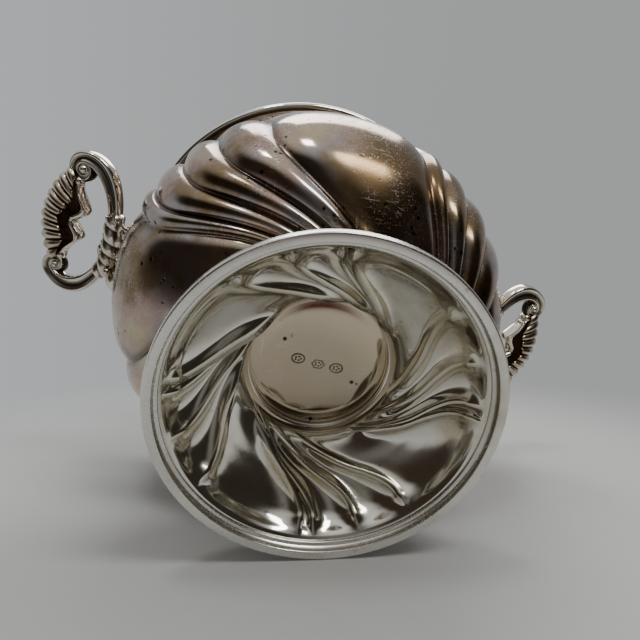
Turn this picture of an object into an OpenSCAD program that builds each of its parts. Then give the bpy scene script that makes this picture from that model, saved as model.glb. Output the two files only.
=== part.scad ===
// Two-handled silver sugar bowl on a domed foot. Twisted flutes run round the
// bowl and round the foot: in every quarter turn a wide smooth panel is followed
// by a group of narrow lobes. Each side carries a cast scroll handle.
// Millimetres. +Z runs up from the face it stands on, the handles lie along X.

/* [Bowl] */
// Height from the table to the top of the mouth wire
bowl_top = 96.7; // [86:0.1:118]
// Largest diameter, over the crests of the belly
belly_d = 98.6; // [86:0.1:120]
// Height of the belly's widest line above the table
belly_z = 53; // [46:0.5:58]
// Outer diameter of the neck below the flared lip
neck_d = 79.6; // [66:0.1:84]
// Outer diameter of the mouth wire
mouth_d = 95.4; // [86:0.1:116]
// Thickness of the beaten silver wall
wall_t = 0.8; // [0.6:0.05:1.2]
// Diameter of the round wire soldered along the lip
mouth_wire_d = 2.3; // [1.6:0.1:3.2]

/* [Foot] */
// Outer diameter of the foot
foot_d = 70; // [60:0.1:84]
// Height of the foot shell's top edge, below the collar
foot_h = 20.5; // [17:0.1:25]
// Outer diameter of the foot's narrow neck
foot_neck_d = 32.2; // [26:0.1:40]
// Height of the applied foot rim
foot_rim_h = 2.6; // [1.8:0.1:4]
// Width of the applied foot rim
foot_rim_w = 2.1; // [1.5:0.1:3.5]
// Height of the collar between foot and bowl
collar_h = 1.4; // [1:0.1:3]
// Width of the collar, measured outward from the foot's bore
collar_w = 2.9; // [2:0.1:4]

/* [Flutes] */
// Depth of the creases between lobes on the bowl
bowl_flute = 1.6; // [0.6:0.1:2.2]
// Depth of the creases between lobes on the foot
foot_flute = 1.3; // [0.5:0.1:1.8]
// Twist of the flutes between the collar and the belly
bowl_twist = 60; // [0:1:75]
// Twist of the flutes between the belly and the neck
shoulder_twist = 24; // [0:1:40]
// Twist of the flutes between the foot's neck and its rim
foot_twist = 60; // [0:1:75]

/* [Handles] */
// How far each handle's outermost edge stands out from the bowl's side
handle_reach = 24.5; // [18:0.1:42]
// Height at which the handles meet the bowl
handle_z = 65.4; // [58:0.1:70]
// Slope of the handle loop above the horizontal
handle_tilt = 17.7; // [0:0.1:25]
// Length of the handle loop, along the bowl's side
handle_len = 40; // [34:0.1:46]
// Width of the scroll arms
arm_w = 3.6; // [2.8:0.1:4.4]
// Thickness of the scroll arms
arm_t = 3.8; // [3:0.1:5]
// Thickness of the ribbed shell grip
grip_t = 7.4; // [6:0.1:9]
// Width of the ribbed shell grip
grip_w = 10.6; // [9:0.1:12]
// Wall of the hollow shell grip
grip_wall = 1.3; // [1:0.1:1.8]
// Number of ribs on the shell grip
grip_ribs = 10; // [7:1:12]
// Width of the leaf mount along the bowl's side
leaf_len = 19; // [14:0.5:22]
// Height of the leaf mount on the bowl's side
leaf_h = 12; // [9:0.5:16]

/* [Hidden] */

// Film of solder between two soldered pieces
film = 0.05;
// Facets of the turned rings
ring_fn = 180;

// ---- shared curves --------------------------------------------------------

// Catmull-Rom point on a list of key points, at u = 0 .. len - 1
function key(p, i) = p[max(0, min(len(p) - 1, i))];
function blend(a, b, c, d, t) =
    0.5 * (2 * b + (c - a) * t + (2 * a - 5 * b + 4 * c - d) * t * t
           + (3 * b - a - 3 * c + d) * t * t * t);
function spline(p, u) =
    let (i = min(len(p) - 2, floor(u)))
    blend(key(p, i - 1), key(p, i), key(p, i + 1), key(p, i + 2), u - i);
function unit(v) = v / norm(v);
function ease(x) = let (t = max(0, min(1, x))) t * t * (3 - 2 * t);
function share(x, a, b) = max(0, min(1, (x - a) / (b - a)));

// Unit normal of an (r, z) outline, to the right of its direction of travel
function side(p, u) =
    let (e = 0.02, d = unit(spline(p, min(len(p) - 1, u + e)) - spline(p, max(0, u - e))))
    [d[1], -d[0]];
// Point at key u of an outline, depth k inside it, on column c turned by a
function skin(p, u, c, k, a) =
    let (q = spline(p, u) - side(p, u) * k)
    [q[0] * cos(c[0] + a), q[0] * sin(c[0] + a), q[1]];

// ---- flutes ---------------------------------------------------------------

// One period of the pattern: widths in degrees of the wide panel and the lobes
// that follow it, for the bowl and for the foot, and how far round it starts
quarter = 90;
bowl_lobes = [46, 6, 11, 12, 15];
bowl_start = -23;
foot_lobes = [46, 21, 18, 5];
foot_start = 88.5 - quarter;
// Where the facets fall inside a wide panel and inside a lobe
panel_cuts = [0, 0.14, 0.5, 0.86];
lobe_cuts = [0, 0.24, 0.76];

function before(w, i) = i == 0 ? 0 : w[i - 1] + before(w, i - 1);
// Each column: [angle, share of the crease depth]
function columns(w, start) =
    [for (q = [0 : 3], i = [0 : len(w) - 1], t = (i == 0 ? panel_cuts : lobe_cuts))
        [start + q * quarter + before(w, i) + w[i] * t,
         pow(abs(2 * t - 1), i == 0 ? 5 : 2.2) * (w[i] < 8 ? 0.7 : 1)]];

// ---- bowl -----------------------------------------------------------------

belly_r = belly_d / 2;
neck_r = neck_d / 2;
foot_r = foot_d / 2;
foot_neck_r = foot_neck_d / 2;
foot_bore_r = foot_neck_r - wall_t;
collar_r = foot_bore_r + collar_w;
seat_z = foot_h + collar_h + 2 * film;
wire_r = mouth_wire_d / 2;
wire_c = [mouth_d / 2 - wire_r, bowl_top - wire_r];
// The lip runs into the wire at this slope, a film short of its surface
lip_slope = 40;
lip_dir = [cos(lip_slope), sin(lip_slope)];
lip = wire_c - lip_dir * (wire_r + film) - [-lip_dir[1], lip_dir[0]] * wall_t / 2;
neck_z = lip[1] - 9.2;
drop = belly_z - seat_z;
rise = neck_z - belly_z;
swell = belly_r - collar_r;
waist = belly_r - neck_r;

// Outline of the bowl's outside, from the middle of its base to the lip
bowl_line = [
    [0, seat_z - 0.5], [foot_bore_r - 0.4, seat_z], [(foot_bore_r + collar_r) / 2, seat_z],
    [collar_r + 0.3, seat_z], [collar_r + 0.13 * swell, seat_z + 0.03 * drop],
    [collar_r + 0.40 * swell, seat_z + 0.14 * drop], [collar_r + 0.64 * swell, seat_z + 0.29 * drop],
    [collar_r + 0.83 * swell, seat_z + 0.46 * drop], [collar_r + 0.955 * swell, seat_z + 0.70 * drop],
    [belly_r, belly_z], [belly_r - 0.10 * waist, belly_z + 0.34 * rise],
    [belly_r - 0.34 * waist, belly_z + 0.55 * rise], [belly_r - 0.72 * waist, belly_z + 0.77 * rise],
    [neck_r, neck_z], [neck_r + 0.9, neck_z + 4.2], lip - lip_dir * 2.6, lip];
belly_key = 9;
neck_key = 13;
bowl_rings = concat([1, 3, 4], [for (u = [4.5 : 0.5 : neck_key]) u],
                    [neck_key + 1, len(bowl_line) - 2, len(bowl_line) - 1]);

// Twist of the flutes at radius r, below and above the belly
function bowl_turn(r, u) =
    u < belly_key ? bowl_twist * pow(share(r, belly_r, collar_r), 1.6)
                  : -shoulder_twist * (u < neck_key ? share(r, belly_r, neck_r) : 1);
// Share of the flute depth at key u: none at the seat, none on the flared lip
function bowl_fade(r, u) =
    u < belly_key ? ease(share(r, collar_r + 0.3, collar_r + 9))
                  : 1 - ease(share(u, neck_key - 2, neck_key + 0.6));

function bowl_point(u, c, k) =
    let (r = spline(bowl_line, u)[0])
    skin(bowl_line, u, c, k + bowl_flute * c[1] * bowl_fade(r, u), bowl_turn(r, u));

// ---- foot -----------------------------------------------------------------

rim_in_r = foot_r - foot_rim_w;
foot_z0 = foot_rim_h + film;
foot_span = rim_in_r - foot_neck_r;
foot_lift = foot_h - foot_z0;
// Outline of the foot's outside, from the edge on the rim to the top of the neck
foot_line = [
    [foot_r - 0.7, foot_z0 + wall_t], [rim_in_r - 0.06 * foot_span, foot_z0 + wall_t + 0.2],
    [rim_in_r - 0.12 * foot_span, foot_z0 + 0.10 * foot_lift],
    [rim_in_r - 0.19 * foot_span, foot_z0 + 0.19 * foot_lift],
    [rim_in_r - 0.34 * foot_span, foot_z0 + 0.32 * foot_lift],
    [rim_in_r - 0.55 * foot_span, foot_z0 + 0.44 * foot_lift],
    [rim_in_r - 0.75 * foot_span, foot_z0 + 0.56 * foot_lift],
    [rim_in_r - 0.90 * foot_span, foot_z0 + 0.71 * foot_lift],
    [rim_in_r - 0.985 * foot_span, foot_z0 + 0.87 * foot_lift], [foot_neck_r, foot_h]];
foot_rings = concat([0, 1], [for (u = [2 : 0.5 : len(foot_line) - 1]) u]);

function foot_turn(r) = foot_twist * pow(share(r, rim_in_r, foot_neck_r), 2.8);
function foot_fade(u) =
    ease(share(u, 1.5, 3)) * (1 - ease(share(u, len(foot_line) - 2.5, len(foot_line) - 1)));
function foot_point(u, c, k) =
    skin(foot_line, u, c, k + foot_flute * c[1] * foot_fade(u), foot_turn(spline(foot_line, u)[0]));

// ---- handles --------------------------------------------------------------

// Radius of the bowl where the handle's leaf sits on it, and the outline key there
leaf_u = belly_key + 1.45 * share(handle_z, belly_z, belly_z + 0.48 * rise);
seat_r = spline(bowl_line, leaf_u)[0];
// In-plane reach: the handle is drawn 25.8 long and 40 wide. A longer reach stretches
// the arms and carries the scrolls and the grip outward as they are
reach = handle_reach / cos(handle_tilt);
stretch = reach - 25.8;
sy = handle_len / 40;
// Where each arm leaves the leaf, and the arms' axes
long_root = [4.8, 9.5 * sy];
short_root = [8.2, -4.2 * sy];
long_axis = [long_root, [4.8, 13 * sy], [5.7 + 0.25 * stretch, 17.5 * sy], [7.8 + 0.6 * stretch, 21.8 * sy],
             [11.2 + 0.9 * stretch, 24.9 * sy], [14.9 + stretch, 25.2 * sy]];
short_axis = [short_root, [11 + 0.4 * stretch, -7.9 * sy], [14.6 + 0.7 * stretch, -9.9 * sy],
              [18.4 + stretch, -9.9 * sy], [21.3 + stretch, -8.1 * sy]];
long_eye = [14.2 + stretch, 21.8 * sy];
short_eye = [20 + stretch, -5.4 * sy];

// Scrolls carry the arms on round their eyes: radius and width at share k of a coil
long_turn = -330;
short_turn = 330;
long_coil_r = norm(long_axis[len(long_axis) - 1] - long_eye);
short_coil_r = norm(short_axis[len(short_axis) - 1] - short_eye);
function coil_r(r0, k) = r0 * (1 - 0.72 * k);
function coil_w(k) = arm_w * (0.62 - 0.25 * k);
function scroll(eye, from, turn) =
    let (r0 = norm(from - eye), a0 = atan2(from[1] - eye[1], from[0] - eye[0]), n = 11)
    [for (i = [1 : n]) let (a = a0 + turn * i / n) eye + coil_r(r0, i / n) * [cos(a), sin(a)]];
// The grip's ends are cut round to meet the coils where these shares of them face it
long_cut = coil_r(long_coil_r, 0.30) + coil_w(0.30) / 2 + film;
short_cut = coil_r(short_coil_r, 0.34) + coil_w(0.34) / 2 + film;

// Heading of a path at its point i
function heading(path, i) =
    let (d = path[min(len(path) - 1, i + 1)] - path[max(0, i - 1)]) atan2(d[1], d[0]);

// Ribbed grip: an arc about this centre, between two angles
grip_c = [4.7 + stretch, 6 * sy];
grip_from = -36;
grip_to = 53;
grip_r = reach - grip_c[0];

// Outline of the grip's section, from its under lip round the outside to the
// inner border and back inside, as [distance in from the outer edge, height]
lip_from = -100;
lip_to = 205;
lip_step = 30.5;
function oval(a, w, t) = [w / 2 - w / 2 * cos(a), t / 2 * sin(a)];
function grip_section(w, t) = concat(
    [for (a = [lip_from : lip_step : lip_to]) oval(a, w, t)],
    [for (a = [lip_to : -lip_step : lip_from])
        [grip_wall, 0] + oval(a, w - 3.4 * grip_wall, t - 2 * grip_wall)]);
// Width and thickness of the grip at share t of its arc: the inner border has two
// convex lobes, and the whole grip thins towards its ends
function grip_width(t) = grip_w * (0.86 + 0.22 * pow(abs(sin(360 * t)), 0.6));
function grip_thick(t) = grip_t * (0.72 + 0.28 * sin(180 * t));
// Where an arc of radius r about the grip's centre meets the circle cut about an eye
function eye_angle(eye) = atan2(eye[1] - grip_c[1], eye[0] - grip_c[0]);
function eye_gap(eye, cut, r) =
    let (d = norm(eye - grip_c)) acos(min(1, (r * r + d * d - cut * cut) / (2 * r * d)));
function grip_low(r) = max(grip_from, eye_angle(short_eye) + eye_gap(short_eye, short_cut, r));
function grip_high(r) = min(grip_to, eye_angle(long_eye) - eye_gap(long_eye, long_cut, r));
// Ribs stand proud on every fourth ring, with a groove half way between
function rib(i) = i % 4 == 0 ? -0.3 : i % 4 == 2 ? 0.12 : 0;

// ---- modules --------------------------------------------------------------

// Thin shell between an outer and an inner skin, each a list of rings. Given the
// two skins' middle points, it is closed across the middle of its first ring.
module shell(outer, inner, middle = []) {
    rows = len(outer);
    n = len(outer[0]);
    points = concat([for (ring = outer) each ring], [for (ring = inner) each ring], middle);
    function at(s, i, j) = (s * rows + i) * n + j % n;
    function quad(a, b, c, d) = [[a, b, c], [a, c, d]];
    walls = [for (i = [0 : rows - 2], j = [0 : n - 1])
        each concat(quad(at(0, i, j), at(0, i + 1, j), at(0, i + 1, j + 1), at(0, i, j + 1)),
                    quad(at(1, i, j + 1), at(1, i + 1, j + 1), at(1, i + 1, j), at(1, i, j)))];
    lip_ring = [for (j = [0 : n - 1])
        each quad(at(0, rows - 1, j), at(1, rows - 1, j), at(1, rows - 1, j + 1), at(0, rows - 1, j + 1))];
    first = len(middle) == 0
        ? [for (j = [0 : n - 1]) each quad(at(0, 0, j + 1), at(1, 0, j + 1), at(1, 0, j), at(0, 0, j))]
        : [for (j = [0 : n - 1])
            each [[2 * rows * n, at(0, 0, j), at(0, 0, j + 1)],
                  [2 * rows * n + 1, at(1, 0, j + 1), at(1, 0, j)]]];
    polyhedron(points = points, faces = concat(walls, lip_ring, first), convexity = 8);
}

module bowl_shell() {
    cols = columns(bowl_lobes, bowl_start);
    color("silver")
        shell([for (u = bowl_rings) [for (c = cols) bowl_point(u, c, 0)]],
              [for (u = bowl_rings) [for (c = cols) bowl_point(u, c, wall_t)]],
              [[0, 0, bowl_line[0][1]], [0, 0, bowl_line[0][1] + wall_t]]);
}

module mouth_wire() {
    color("gainsboro") rotate_extrude($fn = ring_fn) translate(wire_c) circle(r = wire_r, $fn = 48);
}

// Turned ring between the foot's neck and the bowl's base, with a bead outside
module foot_collar() {
    low = foot_h + film;
    bead = collar_h / 2;
    color("silver") rotate_extrude($fn = ring_fn)
        polygon(concat([[foot_bore_r, low], [collar_r - bead, low]],
                       [for (a = [-75 : 15 : 75]) [collar_r - bead, low + bead] + bead * [cos(a), sin(a)]],
                       [[collar_r - bead, low + collar_h], [foot_bore_r, low + collar_h]]));
}

module foot_shell() {
    cols = columns(foot_lobes, foot_start);
    color("silver")
        shell([for (u = foot_rings) [for (c = cols) foot_point(u, c, 0)]],
              [for (u = foot_rings) [for (c = cols) foot_point(u, c, wall_t)]]);
}

// Flat band that the bowl stands on, rounded outside, with a step inside
module foot_rim() {
    round_r = min(0.8, foot_rim_w / 3, foot_rim_h / 3);
    color("silver") rotate_extrude($fn = ring_fn)
        polygon(concat(
            [[rim_in_r + 0.3, 0]],
            [for (a = [-90 : 15 : 0]) [foot_r - round_r, round_r] + round_r * [cos(a), sin(a)]],
            [for (a = [0 : 15 : 90]) [foot_r - round_r, foot_rim_h - round_r] + round_r * [cos(a), sin(a)]],
            [[rim_in_r - 0.5, foot_rim_h], [rim_in_r - 0.5, foot_rim_h - 0.6], [rim_in_r, foot_rim_h - 0.9],
             [rim_in_r, 0.3]]));
}

// A handle's own plane: X outward and up its slope, Y along the bowl's side
module handle_plane() {
    translate([seat_r, 0, handle_z]) rotate([0, -handle_tilt, 0]) children();
}

// Thin oval slice of a bar, square to the given heading
module slice(at, heading, w, t) {
    translate([at[0], at[1], 0]) rotate([0, 0, heading]) rotate([0, 90, 0])
        scale([t, w, 1]) cylinder(d = 1, h = 0.02, center = true, $fn = 10);
}

// Bar along a flat path, with a width and a thickness at each point
module bar(path, widths, thicks) {
    for (i = [0 : len(path) - 2]) hull() {
        slice(path[i], heading(path, i), widths[i], thicks[i]);
        slice(path[i + 1], heading(path, i + 1), widths[i + 1], thicks[i + 1]);
    }
}

// Scroll arm: an oval bar that swells along its axis and winds in round an eye,
// as one solid
module scroll_arm(axis, eye, turn) {
    lead = [for (u = [0 : 0.5 : len(axis) - 1]) spline(axis, u)];
    path = concat(lead, scroll(eye, lead[len(lead) - 1], turn));
    n = len(lead);
    m = len(path) - n;
    sides = 10;
    rings = [for (i = [0 : len(path) - 1])
        let (h = heading(path, i), k = (i - n + 1) / m,
             w = i < n ? arm_w * (0.86 + 0.36 * sin(180 * i / n) - 0.22 * pow(i / n, 3)) : coil_w(k),
             t = i < n ? arm_t : arm_t * (1 - 0.35 * k))
        [for (j = [0 : sides - 1]) let (a = 360 * j / sides)
            [path[i][0] - sin(h) * w / 2 * cos(a), path[i][1] + cos(h) * w / 2 * cos(a), t / 2 * sin(a)]]];
    function at(i, j) = i * sides + j % sides;
    polyhedron(
        points = [for (ring = rings) each ring],
        faces = concat(
            [for (i = [0 : len(rings) - 2], j = [0 : sides - 1])
                each [[at(i, j), at(i + 1, j), at(i + 1, j + 1)],
                      [at(i, j), at(i + 1, j + 1), at(i, j + 1)]]],
            [[for (j = [0 : sides - 1]) j], [for (j = [sides - 1 : -1 : 0]) at(len(rings) - 1, j)]]),
        convexity = 6);
}

module long_scroll_form() {
    scroll_arm(long_axis, long_eye, long_turn);
}

module short_scroll_form() {
    scroll_arm(short_axis, short_eye, short_turn);
}

// Ribbed half-tube along the grip's arc, open underneath, with its ends hollowed
// to sit against the two coils
module grip_form() {
    steps = 4 * grip_ribs;
    rings = [for (i = [0 : steps])
        let (t = i / steps)
        [for (q = grip_section(grip_width(t), grip_thick(t) + 2 * rib(i)))
            let (r = grip_r + rib(i) - 0.12 - q[0], low = grip_low(r), a = low + t * (grip_high(r) - low))
            [grip_c[0] + r * cos(a), grip_c[1] + r * sin(a), q[1]]]];
    n = len(rings[0]);
    half = n / 2;
    function at(i, j) = i * n + j % n;
    polyhedron(
        points = [for (ring = rings) each ring],
        faces = concat(
            [for (i = [0 : steps - 1], j = [0 : n - 1])
                each [[at(i, j), at(i, j + 1), at(i + 1, j + 1)],
                      [at(i, j), at(i + 1, j + 1), at(i + 1, j)]]],
            [for (j = [0 : half - 2])
                each [[at(0, j), at(0, n - 1 - j), at(0, n - 2 - j)],
                      [at(0, j), at(0, n - 2 - j), at(0, j + 1)],
                      [at(steps, j), at(steps, n - 2 - j), at(steps, n - 1 - j)],
                      [at(steps, j), at(steps, j + 1), at(steps, n - 2 - j)]]]),
        convexity = 8);
}

// The leaf's stem, from the root of one arm to the root of the other
module leaf_stem() {
    stem = [long_root, [4.9, 4.5 * sy], [5.2, 0], [6.4, -3 * sy], short_root];
    path = [for (u = [0 : 0.5 : 4]) spline(stem, u)];
    bar(path, [for (i = [0 : 8]) arm_w * (0.9 + 0.7 * sin(22.5 * i))],
        [for (i = [0 : 8]) arm_t * (1.05 + 0.5 * sin(22.5 * i))]);
}

module right_long_scroll() {
    handle_plane() long_scroll_form();
}

module right_shell_grip() {
    handle_plane() grip_form();
}

module right_short_scroll() {
    handle_plane() short_scroll_form();
}

module right_leaf_mount() {
    difference() {
        union() {
            handle_plane() {
                leaf_stem();
                hull() {
                    translate([5.6, -2 * sy, 0]) sphere(d = 4.4, $fn = 16);
                    translate([5, -8.6 * sy, 0]) sphere(d = 2, $fn = 16);
                }
                for (y = [5.5, -3.5]) hull() {
                    translate([5, y * sy, 0]) sphere(d = 4, $fn = 16);
                    translate([-1, y * sy, 0]) sphere(d = 5.5, $fn = 16);
                }
            }
            translate([seat_r - 0.4, 0, handle_z])
                scale([3.4, leaf_len / 2, leaf_h / 2]) sphere(r = 1, $fn = 28);
        }
        bowl_solid();
        handle_plane() {
            long_scroll_form();
            short_scroll_form();
        }
    }
}

// The bowl's outside, without flutes, grown by the solder film
module bowl_solid() {
    rotate_extrude($fn = ring_fn)
        polygon(concat([[0, bowl_line[0][1]]],
                       [for (u = [4 : 0.5 : neck_key]) spline(bowl_line, u) + film * side(bowl_line, u)],
                       [[0, neck_z]]));
}

module left() {
    rotate([0, 0, 180]) children();
}

module long_scroll_right() { color("silver") right_long_scroll(); }
module shell_grip_right() { color("darkgray") right_shell_grip(); }
module short_scroll_right() { color("silver") right_short_scroll(); }
module leaf_mount_right() { color("gainsboro") right_leaf_mount(); }
module long_scroll_left() { color("silver") left() right_long_scroll(); }
module shell_grip_left() { color("darkgray") left() right_shell_grip(); }
module short_scroll_left() { color("silver") left() right_short_scroll(); }
module leaf_mount_left() { color("gainsboro") left() right_leaf_mount(); }

bowl_shell();
mouth_wire();
foot_collar();
foot_shell();
foot_rim();
long_scroll_right();
shell_grip_right();
short_scroll_right();
leaf_mount_right();
long_scroll_left();
shell_grip_left();
short_scroll_left();
leaf_mount_left();
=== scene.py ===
import math

import bmesh
import bpy
from mathutils import Matrix, Vector


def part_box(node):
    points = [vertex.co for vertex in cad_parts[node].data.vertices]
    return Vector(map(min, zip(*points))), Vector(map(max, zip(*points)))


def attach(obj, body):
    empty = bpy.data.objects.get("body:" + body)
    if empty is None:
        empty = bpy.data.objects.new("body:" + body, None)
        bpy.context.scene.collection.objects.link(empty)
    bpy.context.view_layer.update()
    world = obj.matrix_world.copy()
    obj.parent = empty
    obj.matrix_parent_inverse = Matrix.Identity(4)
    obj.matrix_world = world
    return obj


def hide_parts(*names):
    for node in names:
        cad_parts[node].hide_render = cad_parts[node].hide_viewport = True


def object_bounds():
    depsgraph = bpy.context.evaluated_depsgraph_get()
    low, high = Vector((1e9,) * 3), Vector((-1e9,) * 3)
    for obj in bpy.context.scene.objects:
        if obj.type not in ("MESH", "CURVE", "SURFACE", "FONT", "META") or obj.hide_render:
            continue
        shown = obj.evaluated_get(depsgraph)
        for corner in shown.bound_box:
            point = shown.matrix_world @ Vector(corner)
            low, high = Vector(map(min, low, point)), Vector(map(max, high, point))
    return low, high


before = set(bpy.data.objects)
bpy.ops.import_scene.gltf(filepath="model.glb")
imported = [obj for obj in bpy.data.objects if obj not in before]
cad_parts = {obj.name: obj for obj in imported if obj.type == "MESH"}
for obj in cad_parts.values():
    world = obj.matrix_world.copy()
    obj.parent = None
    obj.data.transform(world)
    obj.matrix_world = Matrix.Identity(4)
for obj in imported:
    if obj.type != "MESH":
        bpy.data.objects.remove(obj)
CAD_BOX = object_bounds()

MM = 0.001
SOLDER = 0.05 * MM


# ---- sizes, read from the frame ---------------------------------------------

def ring_sizes(node):
    """Outer radius, lowest and highest point of a round node."""
    low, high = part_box(node)
    return high[1], low[2], high[2]


# The belly is drawn a hair small, so that it stays inside the frame's box
BELLY_R = ring_sizes("bowl_shell")[0] - 0.03 * MM
WIRE_OUT_R, WIRE_LOW, BOWL_TOP = ring_sizes("mouth_wire")
COLLAR_R, COLLAR_LOW, COLLAR_TOP = ring_sizes("foot_collar")
FOOT_R, _, FOOT_RIM_H = ring_sizes("foot_rim")
FOOT_H = ring_sizes("foot_shell")[2]
SEAT_Z = COLLAR_TOP + SOLDER
WIRE_R = (BOWL_TOP - WIRE_LOW) / 2
WALL = 0.8 * MM
BORE_R = COLLAR_R - 2.9 * MM
FOOT_NECK_R = BORE_R + WALL
RIM_IN_R = FOOT_R - 2.1 * MM
BELLY_Z = 53 * MM
NECK_R = 39.8 * MM
NECK_Z = 85.3 * MM
HANDLE_Z = 65.4 * MM
HANDLE_TILT = math.radians(17.7)
HANDLE_REACH = 24.5 * MM
SEAT_R = CAD_BOX[1][0] - HANDLE_REACH


# ---- curves -------------------------------------------------------------------

def ease(x):
    """Smooth step from 0 to 1."""
    t = min(1.0, max(0.0, x))
    return t * t * (3 - 2 * t)


def share(x, a, b):
    """How far x is on its way from a to b, from 0 to 1."""
    return min(1.0, max(0.0, (x - a) / (b - a)))


def spline(points, u):
    """Catmull-Rom point on a list of tuples, at u = 0 .. len - 1."""
    last = len(points) - 1
    i = min(last - 1, max(0, math.floor(u)))
    t = u - i
    a, b, c, d = (Vector(points[min(last, max(0, k))]) for k in (i - 1, i, i + 1, i + 2))
    return 0.5 * (2 * b + (c - a) * t + (2 * a - 5 * b + 4 * c - d) * t * t
                  + (3 * b - a - 3 * c + d) * t ** 3)


FINE_STEPS = 600


def even_keys(points, count):
    """Values of u that space count + 1 points evenly along a spline."""
    fine = [i * (len(points) - 1) / FINE_STEPS for i in range(FINE_STEPS + 1)]
    places = [spline(points, u) for u in fine]
    run = [0.0]
    for a, b in zip(places, places[1:]):
        run.append(run[-1] + (b - a).length)
    keys, k = [], 0
    for i in range(count + 1):
        want = run[-1] * i / count
        while k < FINE_STEPS - 1 and run[k + 1] < want:
            k += 1
        keys.append(fine[k] + (fine[k + 1] - fine[k]) * (want - run[k]) / (run[k + 1] - run[k]))
    return keys


def outward(points, u):
    """Unit normal of an (r, z) outline, to the right of its direction of travel."""
    near = 0.02
    way = spline(points, min(len(points) - 1, u + near)) - spline(points, max(0, u - near))
    way.normalize()
    return Vector((way[1], -way[0]))


def arc(centre, radius, start, end, steps):
    """Points of an arc in the (r, z) plane, angles in degrees."""
    angles = [math.radians(start + (end - start) * i / steps) for i in range(steps + 1)]
    return [(centre[0] + radius * math.cos(a), centre[1] + radius * math.sin(a)) for a in angles]


# ---- mesh helpers -------------------------------------------------------------

def new_piece(bm, name, materials, nodes=(), recalc=True):
    """Turns a bmesh into a named piece that rides with the bowl."""
    if recalc:
        bmesh.ops.recalc_face_normals(bm, faces=bm.faces)
    mesh = bpy.data.meshes.new(name)
    bm.to_mesh(mesh)
    bm.free()
    for face in mesh.polygons:
        face.use_smooth = True
    piece = bpy.data.objects.new(name, mesh)
    bpy.context.scene.collection.objects.link(piece)
    for material in materials:
        mesh.materials.append(material)
    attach(piece, "root")
    if nodes:
        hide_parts(*nodes)
    return piece


def turned(profile, steps):
    """A closed (r, z) outline spun once round the axis."""
    bm = bmesh.new()
    verts = [bm.verts.new((r, 0, z)) for r, z in profile]
    chain = [bm.edges.new(pair) for pair in zip(verts, verts[1:] + verts[:1])]
    bmesh.ops.spin(bm, geom=verts + chain, cent=(0, 0, 0), axis=(0, 0, 1), angle=math.tau,
                   steps=steps, use_merge=True)
    bmesh.ops.remove_doubles(bm, verts=bm.verts, dist=1e-7)
    return bm


def fluted(first, rings, steps, place):
    """A spun sheet of rings first .. rings, each point moved to place(ring, column).

    place gives the point and how deep it lies in a crease, from 0 to 1, which the materials paint as shade."""
    bm = bmesh.new()
    verts = [bm.verts.new((i, 0, 0)) for i in range(first, rings + 1)]
    chain = [bm.edges.new(pair) for pair in zip(verts, verts[1:])]
    bmesh.ops.spin(bm, geom=verts + chain, cent=(0, 0, 0), axis=(0, 0, 1), angle=math.tau,
                   steps=steps, use_merge=True)
    bmesh.ops.remove_doubles(bm, verts=bm.verts, dist=1e-4)
    crease = bm.verts.layers.float.new("crease")
    for v in bm.verts:
        ring = round(v.co.xy.length)
        column = round(math.atan2(v.co.y, v.co.x) / math.tau * steps) % steps
        v.co, v[crease] = place(ring, column)
    bmesh.ops.recalc_face_normals(bm, faces=bm.faces)
    if sum(face.normal.xy.dot(face.calc_center_median().xy) for face in bm.faces) < 0:
        bmesh.ops.reverse_faces(bm, faces=bm.faces)
    return bm


def tube(rings, sides, place):
    """A capped tube whose points are moved to place(ring, angle), which also gives the crease value that the
    materials paint as shade.
    """
    bm = bmesh.new()
    bmesh.ops.create_circle(bm, segments=sides, radius=1.0)
    edge = list(bm.edges)
    bmesh.ops.contextual_create(bm, geom=edge)
    for _ in range(1, rings):
        grown = bmesh.ops.extrude_edge_only(bm, edges=edge)["geom"]
        edge = [g for g in grown if isinstance(g, bmesh.types.BMEdge)]
        moved = [g for g in grown if isinstance(g, bmesh.types.BMVert)]
        bmesh.ops.translate(bm, verts=moved, vec=(0, 0, 1))
    bmesh.ops.contextual_create(bm, geom=edge)
    crease = bm.verts.layers.float.new("crease")
    for v in bm.verts:
        v.co, v[crease] = place(round(v.co.z), math.atan2(v.co.y, v.co.x))
    return bm


def ball(radii, at, turn=Matrix.Identity(3), segments=28):
    """An ellipsoid, turned and put in place."""
    bm = bmesh.new()
    bmesh.ops.create_uvsphere(bm, u_segments=segments, v_segments=segments // 2, radius=1.0)
    bmesh.ops.scale(bm, vec=radii, verts=bm.verts)
    bmesh.ops.rotate(bm, cent=(0, 0, 0), matrix=turn, verts=bm.verts)
    bmesh.ops.translate(bm, vec=at, verts=bm.verts)
    return bm


def join(parts):
    """Several bmeshes in one."""
    whole = bmesh.new()
    for part in parts:
        mesh = bpy.data.meshes.new("part")
        part.to_mesh(mesh)
        part.free()
        whole.from_mesh(mesh)
        bpy.data.meshes.remove(mesh)
    return whole


def thicken(piece, thickness, inside=0):
    """Gives a sheet its wall, inward from the outer face."""
    wall = piece.modifiers.new("wall", "SOLIDIFY")
    wall.thickness = thickness
    wall.offset = -1
    wall.use_even_offset = True
    wall.material_offset = inside


# ---- shader groups --------------------------------------------------------------

def group(name, inputs, outputs):
    """A new shader node group with float inputs and float outputs."""
    tree = bpy.data.node_groups.new(name, "ShaderNodeTree")
    for label, value in inputs:
        socket = tree.interface.new_socket(label, in_out="INPUT", socket_type="NodeSocketFloat")
        socket.default_value = value
    for label in outputs:
        tree.interface.new_socket(label, in_out="OUTPUT", socket_type="NodeSocketFloat")
    return tree


def add(tree, kind):
    """A new shader node."""
    return tree.nodes.new(kind)


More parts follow.
